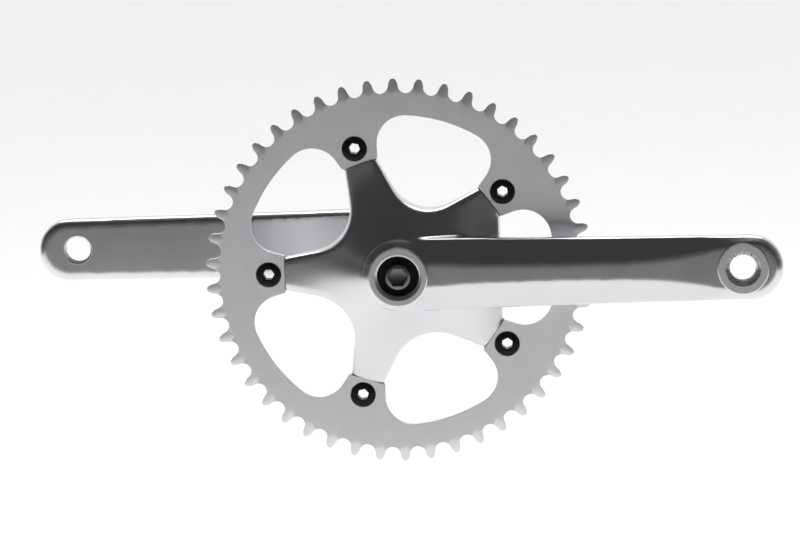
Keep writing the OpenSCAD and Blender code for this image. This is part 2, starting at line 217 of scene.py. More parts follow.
# ---------------------------------------------------------------------------------------------
# Bearings: two sealed ball bearings of hardened steel, with brass cages and moulded rubber seals.
# Their shapes come straight from the turned and ground parts, so only the finish is added.
# ---------------------------------------------------------------------------------------------
# Bearing steel: honed to a near mirror, with faint lines round the axis drawn 0.8 mm apart
bearing_steel, tree, shader, place = new_material("honed_bearing_steel", "#B4B7BB", 1.0, 0.14)
lines = node(tree, "ShaderNodeTexWave", {"Vector": place, "Scale": 400.0}, bands_direction="Y")
blend_roughness(tree, lines.outputs["Fac"], 0.1, 0.2, shader)
bump(tree, lines.outputs["Fac"], 0.08, 0.00001, shader)

# Brass: machined cage, warm yellow with darker tarnish in 1.5 mm patches
cage_brass, tree, shader, place = new_material("machined_cage_brass", "#B08A4A", 1.0, 0.35)
patches = node(tree, "ShaderNodeTexNoise", {"Vector": place, "Scale": 650.0, "Detail": 3.0})
blend_colours(tree, patches.outputs["Fac"], "#8A6A34", "#C29C58", shader)
blend_roughness(tree, patches.outputs["Fac"], 0.42, 0.29, shader)
bump(tree, patches.outputs["Fac"], 0.1, 0.00002, shader)

# Nitrile rubber: moulded, dull black with a fine 0.5 mm pitted skin
seal_rubber, tree, shader, place = new_material("moulded_nitrile_rubber", "#17181A", 0.0, 0.62)
pits = node(tree, "ShaderNodeTexNoise", {"Vector": place, "Scale": 2000.0, "Detail": 2.0})
blend_colours(tree, pits.outputs["Fac"], "#101112", "#232527", shader)
blend_roughness(tree, pits.outputs["Fac"], 0.55, 0.72, shader)
bump(tree, pits.outputs["Fac"], 0.2, 0.00004, shader)

bearing_finish = {
    "outer_race": bearing_steel,
    "inner_race": bearing_steel,
    "bearing_balls": bearing_steel,
    "ball_cage": cage_brass,
    "bearing_outer_seal": seal_rubber,
    "bearing_inner_seal": seal_rubber,
}
for side in ("right", "left"):
    for part, material in bearing_finish.items():
        cad_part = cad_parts[f"{side}_{part}"]
        cad_part.data.materials.clear()
        cad_part.data.materials.append(material)

# ---------------------------------------------------------------------------------------------
# Cartridge shell: drawn steel tube, zinc plated, that holds both bearings and the grease.
# It is rolled in at two grooves and slides into the cups.
# ---------------------------------------------------------------------------------------------
CARTRIDGE_R = 16.2
CARTRIDGE_END = 31.5
CARTRIDGE_BORE_R = 15.02
MIDDLE_BORE_R = 14.1
GROOVE_DEPTH = 0.5
GROOVE_START = 13.8

# Zinc plate over drawn steel: soft grey with long draw marks, drawn 0.8 mm apart, and cloudy patches
zinc_plate, tree, shader, place = new_material("zinc_plated_drawn_steel", "#8B8E92", 1.0, 0.36)
along = node(tree, "ShaderNodeMapping", {"Vector": place, "Scale": (1.0, 0.06, 1.0)})
marks = node(tree, "ShaderNodeTexNoise", {"Vector": along.outputs[0], "Scale": 1250.0, "Detail": 3.0})
cloud = node(tree, "ShaderNodeTexNoise", {"Vector": place, "Scale": 110.0, "Detail": 5.0})
blend_colours(tree, cloud.outputs["Fac"], "#7E8185", "#989B9F", shader)
blend_roughness(tree, cloud.outputs["Fac"], 0.3, 0.42, shader)
bump(tree, marks.outputs["Fac"], 0.15, 0.00003, shader)

half = [
    (CARTRIDGE_BORE_R, CARTRIDGE_END), (CARTRIDGE_R - 0.3, CARTRIDGE_END),
    (CARTRIDGE_R, CARTRIDGE_END - 0.5), (CARTRIDGE_R, GROOVE_START + 1.8),
    (CARTRIDGE_R - GROOVE_DEPTH, GROOVE_START + 1.4),
    (CARTRIDGE_R - GROOVE_DEPTH, GROOVE_START + 0.4), (CARTRIDGE_R, GROOVE_START),
]
bore = [(MIDDLE_BORE_R, COLLAR_END), (CARTRIDGE_BORE_R, COLLAR_END)]
tube = half + [(r, -level) for r, level in reversed(half)]
tube += [(r, -level) for r, level in reversed(bore)] + bore
cartridge = lathe("drawn_cartridge_shell", tube)
finish(cartridge, [zinc_plate])
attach(cartridge, "bottom_bracket")
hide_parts("cartridge_shell")

# ---------------------------------------------------------------------------------------------
# Cups: turned steel, nickel plated, with a 1.37 inch by 24 thread rolled outside and twenty
# splines broached inside the mouth. The drive-side cup has a shoulder and a left-hand thread.
# ---------------------------------------------------------------------------------------------
CUP_THREAD_R = 17.4
CUP_BODY_R = 16.85
CUP_PITCH = 25.4 / 24
CUP_BORE_R = 16.25
CUP_MOUTH_R = 14.9
CUP_INNER_END = 18.0
CUP_FACE = 34.0
CUP_FLANGE_R = 20.5
CUP_FLANGE_T = 2.5
CUP_SPLINES = 20
SPLINE_R = 0.85

# Nickel plate: bright and faintly warm, with turning lines round the axis drawn 1 mm apart
nickel_plate, tree, shader, place = new_material("nickel_plated_turned_steel", "#B4B4B3", 1.0, 0.33)
lines = node(
    tree, "ShaderNodeTexWave", {"Vector": place, "Scale": 320.0, "Distortion": 0.4}, bands_direction="Y"
)
cloud = node(tree, "ShaderNodeTexNoise", {"Vector": place, "Scale": 160.0, "Detail": 4.0})
blend_colours(tree, cloud.outputs["Fac"], "#ACABAA", "#BCBBBA", shader)
blend_roughness(tree, cloud.outputs["Fac"], 0.29, 0.38, shader)
bump(tree, lines.outputs["Fac"], 0.15, 0.00002, shader)


def thread(name, root_r, crest_r, pitch, low, high, hand=1, steps=60, centre=(0.0, 0.0)):
    """A rolled or cut thread: one closed ridge that winds from one level to another.
    Its hand is 1 for a right-hand thread and -1 for a left-hand one."""
    bm = bmesh.new()
    profile = [(root_r, -0.42), (crest_r, -0.09), (crest_r, 0.09), (root_r, 0.42)]
    corners = [bm.verts.new((r, -(low + share * pitch), 0.0)) for r, share in profile]
    bm.faces.new(corners)
    turns = (high - low) / pitch
    count = round(turns * steps)
    wound = bmesh.ops.spin(
        bm,
        geom=corners + list(bm.edges),
        cent=(0, 0, 0),
        axis=(0, 1, 0),
        dvec=(0, -(high - low) / count, 0),
        angle=-hand * 2 * math.pi * turns,
        steps=count,
    )
    last = [part for part in wound["geom_last"] if isinstance(part, bmesh.types.BMEdge)]
    bmesh.ops.contextual_create(bm, geom=last)
    bmesh.ops.recalc_face_normals(bm, faces=bm.faces)
    bmesh.ops.translate(bm, verts=bm.verts, vec=(centre[0], 0, centre[1]))
    return shape(bm, name)


cup_profiles = {
    "right": [
        (CUP_FLANGE_R - 0.4, CUP_FACE), (CUP_FLANGE_R, CUP_FACE + 0.4),
        (CUP_FLANGE_R, CUP_FACE + CUP_FLANGE_T - 0.4), (CUP_FLANGE_R - 0.4, CUP_FACE + CUP_FLANGE_T),
        (CUP_MOUTH_R + 0.6, CUP_FACE + CUP_FLANGE_T), (CUP_MOUTH_R, CUP_FACE + CUP_FLANGE_T - 0.5),
    ],
    "left": [
        (CUP_BODY_R + 0.05, CUP_FACE), (CUP_BODY_R - 0.25, CUP_FACE + 0.4),
        (CUP_MOUTH_R + 0.5, CUP_FACE + 0.4), (CUP_MOUTH_R, CUP_FACE - 0.1),
    ],
}
for side, mouth in cup_profiles.items():
    body = [
        (CUP_BORE_R, CUP_INNER_END), (CUP_BODY_R - 0.35, CUP_INNER_END), (CUP_BODY_R, CUP_INNER_END + 0.5),
        (CUP_BODY_R, CUP_FACE - 1.0), (CUP_BODY_R - 0.3, CUP_FACE - 0.8), (CUP_BODY_R - 0.3, CUP_FACE),
    ]
    inside = [(CUP_MOUTH_R, CARTRIDGE_END + 0.05), (CUP_BORE_R, CARTRIDGE_END + 0.05)]
    cup = lathe(f"threaded_{side}_cup", body + mouth + inside, steps=120)
    ridge = thread(
        "cup_thread", CUP_BODY_R - 0.15, CUP_THREAD_R, CUP_PITCH, CUP_INNER_END + 1.0, CUP_FACE - 1.6,
        hand=-1 if side == "right" else 1,
    )
    carve(cup, ridge, "UNION")
    splines = []
    for i in range(CUP_SPLINES):
        at = CUP_MOUTH_R * cmath.exp(2j * math.pi * i / CUP_SPLINES)
        rod = [(0, CUP_FACE - 3), (SPLINE_R, CUP_FACE - 3), (SPLINE_R, CUP_FACE + 4), (0, CUP_FACE + 4)]
        splines.append(lathe("spline", rod, steps=16, centre=(at.real, at.imag)))
    carve(cup, merge("splines", splines))
    if side == "left":
        other_side(cup)
    finish(cup, [nickel_plate])
    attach(cup, "bottom_bracket")
    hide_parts(f"{side}_cup")

# ---------------------------------------------------------------------------------------------
# Spindle seals: moulded nitrile rings pressed into each end of the cartridge, with a thin lip
# that wipes the spindle and a step that stiffens the rim.
# ---------------------------------------------------------------------------------------------
SEAL_R = 14.95
SEAL_BACK = 30.2
SEAL_LIP_R = 8.58

for side in ("right", "left"):
    ring = [
        (SEAL_R, SEAL_BACK), (SEAL_R, CARTRIDGE_END), (13.4, CARTRIDGE_END), (13.0, CARTRIDGE_END - 0.4),
        (10.4, CARTRIDGE_END - 0.4), (10.0, CARTRIDGE_END - 0.05), (8.9, CARTRIDGE_END - 0.05),
        (SEAL_LIP_R, CARTRIDGE_END - 0.3), (SEAL_LIP_R, CARTRIDGE_END - 0.7), (9.6, SEAL_BACK + 0.3),
        (9.9, SEAL_BACK),
    ]
    seal = lathe(f"wiping_{side}_seal", ring)
    if side == "left":
        other_side(seal)
    finish(seal, [seal_rubber])
    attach(seal, "bottom_bracket")
    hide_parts(f"{side}_spindle_seal")

# ---------------------------------------------------------------------------------------------
# Crank arms: hot-forged aluminium, tumbled and polished to a satin sheen, then clear anodised.
# The boss, pedal pads, bores, threads and the chainring seats are machined afterwards.
# ---------------------------------------------------------------------------------------------
PEDAL_X = 170.0
EYE_X = 174.0
EYE_R = 16.0
EYE_BACK = 60.5
EYE_EDGE = 68.5
EYE_CROWN = 72.2
EYE_CROWN_R = 12.8
HUB_R = 18.0
HUB_EDGE = 60.2
RIGHT_HUB_BACK = 40.5
LEFT_HUB_BACK = 42.5
FOOT_R = 17.0
BOSS_R = 14.7
BOSS_FACE = 67.5
PAD_R = 12.75
PAD_FACE = 73.0
WASHER_SEAT = 58.5
EXTRACTOR_R = 11.0
EXTRACTOR_PITCH = 1.0
PEDAL_THREAD_R = 7.144
PEDAL_PITCH = 25.4 / 20
BACK_EDGE = 2.4
SQUARE_GAP = 0.02
BOLT_CIRCLE_R = 65.0
SEAT_STEP_R = 56.8
SPIDER_HALF_W = 8.4
SPIDER_TIP_R = 8.5
BLANK_DEPTH = 10.0
BOLT_HOLE_R = 5.05
SPIDER_TAPER = math.radians(10.8)
SPIDER_STEP = math.radians(72)
FIRST_ARM = math.radians(36)
SPIDER_BACK = 38.5
RING_BACK = 42.0
RING_FRONT = 45.0
WINDOW_R_AT = 55.0
# Distance along the arm, then half width, half width of the crown, and the levels of the back,
# the edge and the crown
ARM_STATIONS = np.array([
    [0, 18.0, 7.0, 46.0, 59.6, 65.3],
    [14, 18.0, 6.6, 48.0, 60.2, 65.6],
    [30, 17.8, 5.6, 50.6, 61.0, 66.2],
    [60, 17.2, 4.9, 54.5, 62.8, 68.0],
    [100, 16.6, 4.9, 57.3, 65.0, 70.0],
    [128, 16.3, 5.8, 58.9, 66.7, 71.1],
    [142, 16.2, 7.6, 59.4, 67.4, 71.2],
    [152, 16.1, 9.4, 59.9, 67.9, 71.3],
    [162, 16.0, 11.4, 60.2, 68.3, 71.9],
    [174, 16.0, 12.8, 60.5, 68.5, 72.2],
])
# Radius and level of the spider's front face
SPIDER_FACE = np.array([
    [0, 62.6], [14, 62.2], [20, 59.4], [28, 55.0], [36, 51.4], [46, 48.0], [56.8, 45.9], [75, 45.2]
])


def eased(x, table, column):
    """A smooth curve through one column of a table."""
    xs, ys = table[:, 0], table[:, column]
    slopes = np.gradient(ys, xs)
    i = int(np.clip(np.searchsorted(xs, x) - 1, 0, len(xs) - 2))
    span = xs[i + 1] - xs[i]
    t = min(max((x - xs[i]) / span, 0.0), 1.0)
    start = (2 * t**3 - 3 * t**2 + 1) * ys[i] + (t**3 - 2 * t**2 + t) * span * slopes[i]
    return start + (3 * t**2 - 2 * t**3) * ys[i + 1] + (t**3 - t**2) * span * slopes[i + 1]


def arm_bar(name):
    """The bar of the arm: a sheet of quads wrapped round its changing section, with closed ends."""
    bm = bmesh.new()
    per_side = 4
    bmesh.ops.create_grid(bm, x_segments=87, y_segments=8 * per_side, size=1.0)
    for vert in bm.verts:
        x = EYE_X * (vert.co.x + 1) / 2
        half_w, crown_half, back, edge, crown = [eased(x, ARM_STATIONS, c) for c in range(1, 6)]
        corners = [
            (BACK_EDGE - half_w, back), (half_w - BACK_EDGE, back), (half_w, back + BACK_EDGE),
            (half_w, edge), (crown_half, crown), (-crown_half, crown), (-half_w, edge),
            (-half_w, back + BACK_EDGE),
        ]
        place = 8 * (vert.co.y + 1) / 2
        i = int(place + 1e-6)
        share = place - i
        a, b = corners[i % 8], corners[(i + 1) % 8]
        vert.co = (x, -(a[1] + (b[1] - a[1]) * share), a[0] + (b[0] - a[0]) * share)
    bmesh.ops.remove_doubles(bm, verts=bm.verts, dist=1e-4)
    bmesh.ops.holes_fill(bm, edges=bm.edges, sides=0)
    bmesh.ops.recalc_face_normals(bm, faces=bm.faces)
    return shape(bm, name)


def spider_star(name):
    """The spider: its plan drawn once, raised with rounded rims, then shaped to its falling face."""
    centre = WINDOW_R_AT * cmath.exp(1j * FIRST_ARM)
    reach = (centre.real - SEAT_STEP_R) * math.sin(SPIDER_TAPER)
    reach += (centre.imag - SPIDER_HALF_W) * math.cos(SPIDER_TAPER)
    swing = math.pi / 2 - FIRST_ARM - SPIDER_TAPER
    outline = []
    for i in range(5):
        turn = cmath.exp(1j * (FIRST_ARM + i * SPIDER_STEP))
        outline.append(complex(SEAT_STEP_R, -SPIDER_HALF_W) * turn)
        for a in range(-80, 81, 10):
            outline.append((BOLT_CIRCLE_R + cmath.rect(SPIDER_TIP_R, math.radians(a))) * turn)
        outline.append(complex(SEAT_STEP_R, SPIDER_HALF_W) * turn)
        if i < 4:
            turn = cmath.exp(1j * (i + 1) * SPIDER_STEP)
            for k in range(-16, 17):
                outline.append((WINDOW_R_AT - reach * cmath.exp(-1j * k / 16 * swing)) * turn)
    bm = bmesh.new()
    base = bm.faces.new([bm.verts.new((p.real, -SPIDER_BACK, p.imag)) for p in outline])
    raised = bmesh.ops.extrude_face_region(bm, geom=[base])
    top = [part for part in raised["geom"] if isinstance(part, bmesh.types.BMVert)]
    bmesh.ops.translate(bm, verts=top, vec=(0, -BLANK_DEPTH, 0))
    bmesh.ops.recalc_face_normals(bm, faces=bm.faces)
    for level, radius in ((SPIDER_BACK + BLANK_DEPTH, 2.4), (SPIDER_BACK, 1.2)):
        rim = [e for e in bm.edges if all(abs(-v.co.y - level) < 1e-4 for v in e.verts)]
        bmesh.ops.bevel(
            bm, geom=rim, offset=radius, affect="EDGES", segments=4, profile=0.5,
            material=-1, clamp_overlap=False,
        )
    star = shape(bm, name)
    grid = star.modifiers.new("grid", "REMESH")
    grid.mode = "VOXEL"
    grid.voxel_size = 0.8
    apply(star, grid)
    for vert in star.data.vertices:
        level = -vert.co.y
        r = math.hypot(vert.co.x, vert.co.z)
        share = min(max((level - SPIDER_BACK - 2) / 4, 0.0), 1.0)
        rise = share * (eased(min(r, 75.0), SPIDER_FACE, 1) - SPIDER_BACK - BLANK_DEPTH)
        relief = (1 - share) * 2.0 * min(max((24 - r) / 4, 0.0), 1.0)
        vert.co.y = -(level + rise + relief)
    return star


def forge(name, parts, passes):
    """Joins the rough shapes into one skin, and rounds it as forging and tumbling do."""
    blank = merge(name, parts)
    skin = blank.modifiers.new("skin", "REMESH")
    skin.mode = "VOXEL"
    skin.voxel_size = 0.7
    apply(blank, skin)
    bm = bmesh.new()
    bm.from_mesh(blank.data)
    for _ in range(passes):
        bmesh.ops.smooth_vert(
            bm, verts=bm.verts, factor=0.5, use_axis_x=True, use_axis_y=True, use_axis_z=True
        )
    bm.to_mesh(blank.data)
    bm.free()
    return blank


def crank_arm(name, hub_back, spider, pedal_hand):
    """Forges the arm, then machines its boss, pads, bores and threads."""
    hub = lathe("hub", [
        (0, hub_back + 1), (HUB_R - 2, hub_back + 1), (HUB_R, hub_back + 3), (HUB_R, HUB_EDGE),
        (HUB_R - 0.6, HUB_EDGE + 1.4), (HUB_R - 4, HUB_EDGE + 4), (0, HUB_EDGE + 4.2),
    ])
    eye = lathe("eye", [
        (0, EYE_BACK), (EYE_R - BACK_EDGE, EYE_BACK), (EYE_R, EYE_BACK + BACK_EDGE), (EYE_R, EYE_EDGE),
        (EYE_CROWN_R, EYE_CROWN), (0, EYE_CROWN),
    ], centre=(EYE_X, 0))
    arm = forge(name, [arm_bar("bar"), hub, eye] + spider, 9)
    carve(arm, lathe("boss", [
        (0, HUB_EDGE - 4.2), (BOSS_R, HUB_EDGE - 4.2), (BOSS_R, BOSS_FACE - 0.6), (BOSS_R - 0.6, BOSS_FACE),
        (0, BOSS_FACE),
    ]), "UNION")
    carve(arm, lathe("foot", [
        (0, hub_back), (FOOT_R - 0.8, hub_back), (FOOT_R, hub_back + 0.8), (FOOT_R, hub_back + 5),
        (0, hub_back + 5),
    ]), "UNION")
    carve(arm, lathe("pad", [
        (0, EYE_BACK + 1), (PAD_R, EYE_BACK + 1), (PAD_R, PAD_FACE - 0.5), (PAD_R - 0.5, PAD_FACE),
        (0, PAD_FACE),
    ], centre=(PEDAL_X, 0)), "UNION")
    carve(arm, lathe("bore", [
        (0, WASHER_SEAT), (EXTRACTOR_R, WASHER_SEAT), (EXTRACTOR_R, BOSS_FACE - 0.7),
        (EXTRACTOR_R + 1.4, BOSS_FACE + 0.7), (0, BOSS_FACE + 0.7),
    ]))
    carve(arm, thread(
        "extractor_thread", EXTRACTOR_R + 0.15, EXTRACTOR_R - 0.5, EXTRACTOR_PITCH, WASHER_SEAT + 2.4,
        BOSS_FACE - 0.9,
    ), "UNION")
    square_low = (SQUARE_HALF + SQUARE_GAP + (SPINDLE_END - hub_back + 1) * TAPER) * math.sqrt(2)
    square_high = (SQUARE_HALF + SQUARE_GAP + (SPINDLE_END - WASHER_SEAT - 1) * TAPER) * math.sqrt(2)
    carve(arm, lathe("square", [
        (0, hub_back - 1), (square_low, hub_back - 1), (square_high, WASHER_SEAT + 1), (0, WASHER_SEAT + 1),
    ], steps=4, start=45))
    carve(arm, lathe("hole", [
        (0, EYE_BACK - 1.5), (PEDAL_THREAD_R + 1.4, EYE_BACK - 1.5), (PEDAL_THREAD_R, EYE_BACK + 0.7),
        (PEDAL_THREAD_R, PAD_FACE - 1.6), (PEDAL_THREAD_R + 2.6, PAD_FACE + 1), (0, PAD_FACE + 1),
    ], centre=(PEDAL_X, 0)))
    carve(arm, thread(
        "pedal_thread", PEDAL_THREAD_R + 0.15, PEDAL_THREAD_R - 0.55, PEDAL_PITCH, EYE_BACK + 1.4,
        PAD_FACE - 2.3, hand=pedal_hand, centre=(PEDAL_X, 0),
    ), "UNION")
    return arm


# Satin-polished, clear-anodised aluminium: bright and even, with polishing marks along the arm,
# drawn 1 mm wide, and a soft cloud of roughness where the film is thicker
satin_aluminium, tree, shader, place = new_material(
    "satin_polished_anodised_aluminium", "#DCDDDF", 1.0, 0.245
)
along = node(tree, "ShaderNodeMapping", {"Vector": place, "Scale": (0.08, 1.0, 1.0)})
marks = node(tree, "ShaderNodeTexNoise", {"Vector": along.outputs[0], "Scale": 1000.0, "Detail": 3.0})
cloud = node(tree, "ShaderNodeTexNoise", {"Vector": place, "Scale": 45.0, "Detail": 1.0})
blend_colours(tree, cloud.outputs["Fac"], "#D8D9DB", "#E0E1E3", shader)
blend_roughness(tree, cloud.outputs["Fac"], 0.225, 0.265, shader)
bump(tree, marks.outputs["Fac"], 0.06, 0.00003, shader)


def turned_aluminium(name, x):
    """Bright-turned aluminium: tool marks circle the hole, drawn 1 mm apart so that they show."""
    material, tree, shader, place = new_material(name, "#E2E3E4", 1.0, 0.35)
    centred = node(tree, "ShaderNodeMapping", {"Vector": place, "Location": (-x, 0.0, 0.0)})
    rings = node(
        tree, "ShaderNodeTexWave", {"Vector": centred.outputs[0], "Scale": 320.0, "Distortion": 0.3},
        wave_type="RINGS", rings_direction="Y",
    )
    blend_colours(tree, rings.outputs["Fac"], "#DCDDDE", "#E8E9EA", shader)
    blend_roughness(tree, rings.outputs["Fac"], 0.32, 0.38, shader)
    bump(tree, rings.outputs["Fac"], 0.1, 0.00003, shader)
    return material


boss_finish = turned_aluminium("turned_boss_aluminium", 0.0)
right_pad_finish = turned_aluminium("turned_right_pad_aluminium", PEDAL_X / 1000)
left_pad_finish = turned_aluminium("turned_left_pad_aluminium", -PEDAL_X / 1000)


def mark_turned(arm):
    """Gives the machined faces of an arm their turned finish: 1 at the boss, 2 at the pedal pad."""
    for face in arm.data.polygons:
        x, y, z = face.center * 1000
        level = abs(y)
        from_boss = math.hypot(x, z)
        from_pedal = math.hypot(abs(x) - PEDAL_X, z)
        in_bore = from_boss < EXTRACTOR_R + 0.8 and level > WASHER_SEAT - 0.1
        on_boss = from_boss < BOSS_R and level > BOSS_FACE - 0.7
        in_hole = from_pedal < PEDAL_THREAD_R + 0.8 and level > EYE_BACK + 0.5
        on_pad = from_pedal < PAD_R and level > PAD_FACE - 0.6
        if in_bore or on_boss:
            face.material_index = 1
        if in_hole or on_pad:
            face.material_index = 2


right_arm = crank_arm("forged_right_crank_arm", RIGHT_HUB_BACK, [spider_star("spider")], 1)
carve(right_arm, lathe("seat", [(SEAT_STEP_R, RING_BACK), (80, RING_BACK), (80, 50), (SEAT_STEP_R, 50)]))
for i in range(5):
    at = BOLT_CIRCLE_R * cmath.exp(1j * (FIRST_ARM + i * SPIDER_STEP))
    drill = [
        (0, SPIDER_BACK - 2.5), (BOLT_HOLE_R + 0.55, SPIDER_BACK - 2.5),
        (BOLT_HOLE_R + 0.55, SPIDER_BACK - 0.01), (BOLT_HOLE_R, SPIDER_BACK + 0.5),
        (BOLT_HOLE_R, RING_BACK + 2), (0, RING_BACK + 2),
    ]
    carve(right_arm, lathe("drill", drill, steps=64, centre=(at.real, at.imag)))
finish(right_arm, [satin_aluminium, boss_finish, right_pad_finish])
mark_turned(right_arm)
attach(right_arm, "crank")
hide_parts("right_crank_arm")

left_arm = other_side(crank_arm("forged_left_crank_arm", LEFT_HUB_BACK, [], -1))
finish(left_arm, [satin_aluminium, boss_finish, left_pad_finish])
mark_turned(left_arm)
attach(left_arm, "crank")
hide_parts("left_crank_arm")

# ---------------------------------------------------------------------------------------------
# Chainring: 46 teeth cut from 3 mm aluminium plate, bead blasted and clear anodised. Its five
# tabs lie on the spider's seats, with a counterbore for each bolt head.
# ---------------------------------------------------------------------------------------------
TEETH = 46
PITCH_R = 12.7 / (2 * math.sin(math.pi / TEETH))
ROLLER_R = 3.95
TOOTH_STEP = 2 * math.pi / TEETH
TIP_R = PITCH_R + 3.15
TIP_CHAMFER = 0.25
TOP_HALF_W = 0.55
TIP_HALF_W = 1.05
MID_RISE = 1.2
MID_HALF_W = 2.1
WINDOW_OUTER_R = 77.9
TAB_R = 57.0
TAB_HALF_W = 9.3
TAB_FLARE = math.radians(16.7)
CORNER_R = 14.0
ROOT_CIRCLE_R = 87.6
THINNING_START_R = 90.3
TOOTH_THINNING = 0.7
COUNTERBORE_R = 6.05
COUNTERBORE_DEPTH = 1.5
HEAD_SEAT = RING_FRONT - COUNTERBORE_DEPTH

# Bead-blasted, clear-anodised aluminium: even soft grey, with the beads' dimples drawn 0.8 mm wide
blasted_aluminium, tree, shader, place = new_material(
    "bead_blasted_anodised_aluminium", "#EFEFF1", 1.0, 0.5
)
dimples = node(tree, "ShaderNodeTexVoronoi", {"Vector": place, "Scale": 1250.0})
cloud = node(tree, "ShaderNodeTexNoise", {"Vector": place, "Scale": 90.0, "Detail": 2.0})
blend_colours(tree, cloud.outputs["Fac"], "#EBEBEE", "#F3F3F5", shader)
blend_roughness(tree, cloud.outputs["Fac"], 0.44, 0.56, shader)
bump(tree, dimples.outputs["Distance"], 0.12, 0.00006, shader)


def flank(r, half, side):
    """A point on a tooth flank, beside the gap that is centred on the first axis."""
    return cmath.rect(r, side * (TOOTH_STEP / 2 - half / r))


gap = [flank(TIP_R - TIP_CHAMFER, TIP_HALF_W, -1), flank(PITCH_R + MID_RISE, MID_HALF_W, -1)]
gap += [PITCH_R + cmath.rect(ROLLER_R, math.radians(a)) for a in np.linspace(-115, -245, 9)]
gap += [flank(PITCH_R + MID_RISE, MID_HALF_W, 1), flank(TIP_R - TIP_CHAMFER, TIP_HALF_W, 1)]
gap += [flank(TIP_R, TOP_HALF_W, 1), flank(TIP_R, -TOP_HALF_W, 1)]
toothed = [p * cmath.exp(1j * i * TOOTH_STEP) for i in range(TEETH) for p in gap]

side_line = cmath.exp(1j * TAB_FLARE)
corner_start = complex(TAB_R, TAB_HALF_W) + CORNER_R * 1j * side_line
corner_circle_r = WINDOW_OUTER_R - CORNER_R
reach = (corner_start * side_line.conjugate()).real
run = math.sqrt(reach**2 - abs(corner_start) ** 2 + corner_circle_r**2) - reach
corner = (corner_start + run * side_line).conjugate() * cmath.exp(1j * FIRST_ARM)
corner_angle = cmath.phase(corner)
last_angle = math.pi / 2 + FIRST_ARM - TAB_FLARE
half = [corner + cmath.rect(CORNER_R, a) for a in np.linspace(corner_angle, last_angle, 13)]
half.append(complex(TAB_R, -TAB_HALF_W) * cmath.exp(1j * FIRST_ARM))
window = [p.conjugate() for p in reversed(half)]
window += [cmath.rect(WINDOW_OUTER_R, t * corner_angle) for t in np.linspace(-1, 1, 9)[1:-1]] + half
opening = [p * cmath.exp(1j * i * SPIDER_STEP) for i in range(5) for p in window]

bm = bmesh.new()


def loop(points):
    """A closed loop of edges on the back of the plate, through points in its plane."""
    corners = [bm.verts.new((p.real, -RING_BACK, p.imag)) for p in points]
    return [bm.edges.new(pair) for pair in zip(corners, corners[1:] + corners[:1])]


middle = loop([cmath.rect(ROOT_CIRCLE_R, 2 * math.pi * k / 184) for k in range(184)])
bmesh.ops.triangle_fill(bm, edges=loop(toothed) + middle, use_beauty=True)
bmesh.ops.triangle_fill(bm, edges=loop(opening) + middle, use_beauty=True)
raised = bmesh.ops.extrude_face_region(bm, geom=list(bm.faces))
top = [part for part in raised["geom"] if isinstance(part, bmesh.types.BMVert)]
bmesh.ops.translate(bm, verts=top, vec=(0, RING_BACK - RING_FRONT, 0))
bmesh.ops.recalc_face_normals(bm, faces=bm.faces)


def is_rim(edge):
    """True where a flat face of the plate meets its cut edge."""
    in_plane = abs(edge.verts[0].co.y - edge.verts[1].co.y) < 1
    return edge.is_manifold and edge.calc_face_angle() > 1.2 and in_plane


rims = [edge for edge in bm.edges if is_rim(edge)]
bmesh.ops.bevel(
    bm, geom=rims, offset=0.3, affect="EDGES", segments=2, profile=0.5, material=-1, clamp_overlap=True
)
for vert in bm.verts:
    from_start = math.hypot(vert.co.x, vert.co.z) - THINNING_START_R
    thin = min(max(from_start / (TIP_R - THINNING_START_R), 0.0), 1.0)
    offset = -vert.co.y - (RING_BACK + RING_FRONT) / 2
    vert.co.y += TOOTH_THINNING * thin * offset / 1.5
chainring = shape(bm, "blasted_chainring")
for i in range(5):
    at = BOLT_CIRCLE_R * cmath.exp(1j * (FIRST_ARM + i * SPIDER_STEP))
    seat = [
        (0, RING_BACK - 1), (BOLT_HOLE_R, RING_BACK - 1), (BOLT_HOLE_R, HEAD_SEAT),
        (COUNTERBORE_R, HEAD_SEAT), (COUNTERBORE_R, RING_FRONT - 0.3),
        (COUNTERBORE_R + 0.6, RING_FRONT + 0.3), (0, RING_FRONT + 0.3),
    ]
    carve(chainring, lathe("counterbore", seat, steps=64, centre=(at.real, at.imag)))
finish(chainring, [blasted_aluminium], sharp=20)
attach(chainring, "crank")
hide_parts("chainring")

# ---------------------------------------------------------------------------------------------
# Chainring bolts and nuts: five pairs of steel fasteners, black oxidised. The bolt is drilled
# through as its 5 mm hex socket, and the nut is a sleeve with a slotted flange behind the spider.
# ---------------------------------------------------------------------------------------------
SHANK_R = 4.2
HEAD_R = 6.0
HEAD_FACE = 45.4
HEX_WIDTH = 5.0
NUT_BORE_R = 4.25
NUT_SLEEVE_R = 4.98
NUT_FLANGE_R = 6.0
NUT_BACK = SPIDER_BACK - 1.5
NUT_END = HEAD_SEAT - 0.2

# Black oxide on steel: near-black with a low oily sheen, and faint 2 mm patches where it thins
black_oxide, tree, shader, place = new_material("black_oxidised_steel", "#1B1B1D", 0.85, 0.34)
patches = node(tree, "ShaderNodeTexNoise", {"Vector": place, "Scale": 500.0, "Detail": 4.0})
blend_colours(tree, patches.outputs["Fac"], "#121214", "#2B2B2E", shader)
blend_roughness(tree, patches.outputs["Fac"], 0.28, 0.45, shader)
bump(tree, patches.outputs["Fac"], 0.1, 0.00003, shader)


def around(piece):
    """Repeats a fastener drawn on the first axis at each of the five bolt places."""
    bm = bmesh.new()
    bm.from_mesh(piece.data)
    bmesh.ops.rotate(bm, verts=bm.verts, cent=(0, 0, 0), matrix=Matrix.Rotation(-FIRST_ARM, 3, "Y"))
    bmesh.ops.spin(
        bm, geom=bm.verts[:] + bm.edges[:] + bm.faces[:], cent=(0, 0, 0), axis=(0, 1, 0),
        angle=4 * SPIDER_STEP, steps=4, use_duplicate=True,
    )
    bm.to_mesh(piece.data)
    bm.free()
    return piece


